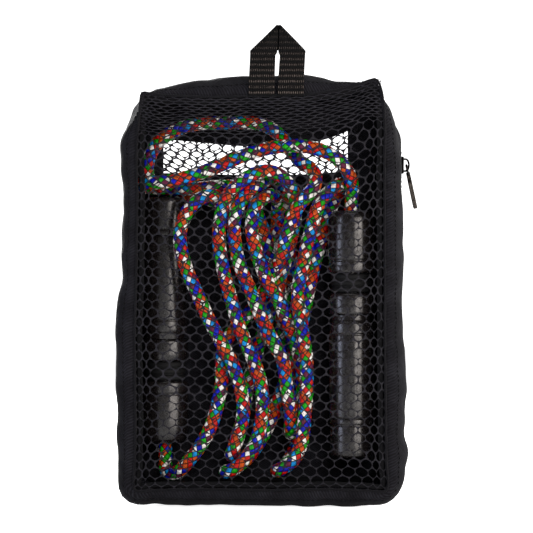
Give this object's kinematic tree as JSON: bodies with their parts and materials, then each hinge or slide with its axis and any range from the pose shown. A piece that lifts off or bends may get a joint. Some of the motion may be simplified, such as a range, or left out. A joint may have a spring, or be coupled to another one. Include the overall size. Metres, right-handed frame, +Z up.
{
  "type": "jump rope in a mesh zip pouch",
  "caption": "Braided jump rope with swivel handles, folded into a black net-front zip pouch with a webbing hang loop.",
  "frame": {"origin": "middle of the pouch's flat bottom, where it stands", "axes": "+Z up towards the hang loop, -Y out of the net front, +X towards the zip side"},
  "size_m": [0.1727, 0.0557, 0.2776],
  "materials": {
    "cloth": "black woven polyester cloth, matt",
    "net": "black knitted hexagon net, satin threads",
    "tape": "black woven tape",
    "webbing": "black ribbed webbing",
    "zip_coil": "black nylon coil",
    "zip_metal": "dark gunmetal, glossy",
    "handle_plastic": "polished black plastic",
    "sleeve_rubber": "black ribbed rubber",
    "bearing_steel": "bright turned steel",
    "ferrule": "plain brass",
    "rope": "braided polypropylene, white, green, blue, cyan, red, orange and maroon strands"
  },
  "bodies": {
    "pouch": {"back_fabric_panel": "cloth", "top_gusset": "cloth", "bottom_gusset": "cloth", "left_gusset": "cloth", "right_gusset_front": "cloth", "right_gusset_rear": "cloth", "right_gusset_lower": "cloth", "right_gusset_upper": "cloth", "front_mesh_panel": "net", "back_mesh_window": "net", "front_seam_binding": "tape", "back_seam_binding": "tape", "zip_tape_front": "tape", "zip_tape_rear": "tape", "hang_loop": "webbing", "zip_teeth_front": "zip_coil", "zip_teeth_rear": "zip_coil", "zip_bottom_stop": "zip_metal", "zip_top_stop": "zip_metal", "right_head": "handle_plastic", "left_head": "handle_plastic", "right_swivel_sleeve": "sleeve_rubber", "left_swivel_sleeve": "sleeve_rubber", "right_spindle": "bearing_steel", "right_spindle_nut": "bearing_steel", "left_spindle": "bearing_steel", "left_spindle_nut": "bearing_steel", "right_rope_stop": "ferrule", "left_rope_stop": "ferrule", "rope_hank_front": "rope", "rope_hank_rear": "rope", "rope_lead_right": "rope", "rope_top_arc": "rope", "rope_lead_left": "rope"},
    "right_grip": {"right_end_cap": "handle_plastic", "right_grip": "handle_plastic", "right_collar": "handle_plastic", "right_bearing": "bearing_steel"},
    "left_grip": {"left_end_cap": "handle_plastic", "left_grip": "handle_plastic", "left_collar": "handle_plastic", "left_bearing": "bearing_steel"},
    "zip_slider": {"zip_slider": "zip_metal"},
    "zip_puller": {"puller_link": "zip_metal", "puller_tab": "zip_metal"}
  },
  "joints": [
    {"name": "zip_slide", "type": "slide", "parent": "pouch", "child": "zip_slider", "axis": [0, 0, -1], "range_m": [0, 0.168]},
    {"name": "puller_swing", "type": "hinge", "parent": "zip_slider", "child": "zip_puller", "pos_m": [0.0849, 0, 0.198], "axis": [0, -1, 0], "range_deg": [0, 150]},
    {"name": "right_grip_spin", "type": "hinge", "parent": "pouch", "child": "right_grip", "pos_m": [0.0525, -0.008, 0.0285], "axis": [0, 0, 1], "continuous": true},
    {"name": "left_grip_spin", "type": "hinge", "parent": "pouch", "child": "left_grip", "pos_m": [-0.0555, 0, 0.179], "axis": [0, 0, -1], "continuous": true}
  ]
}
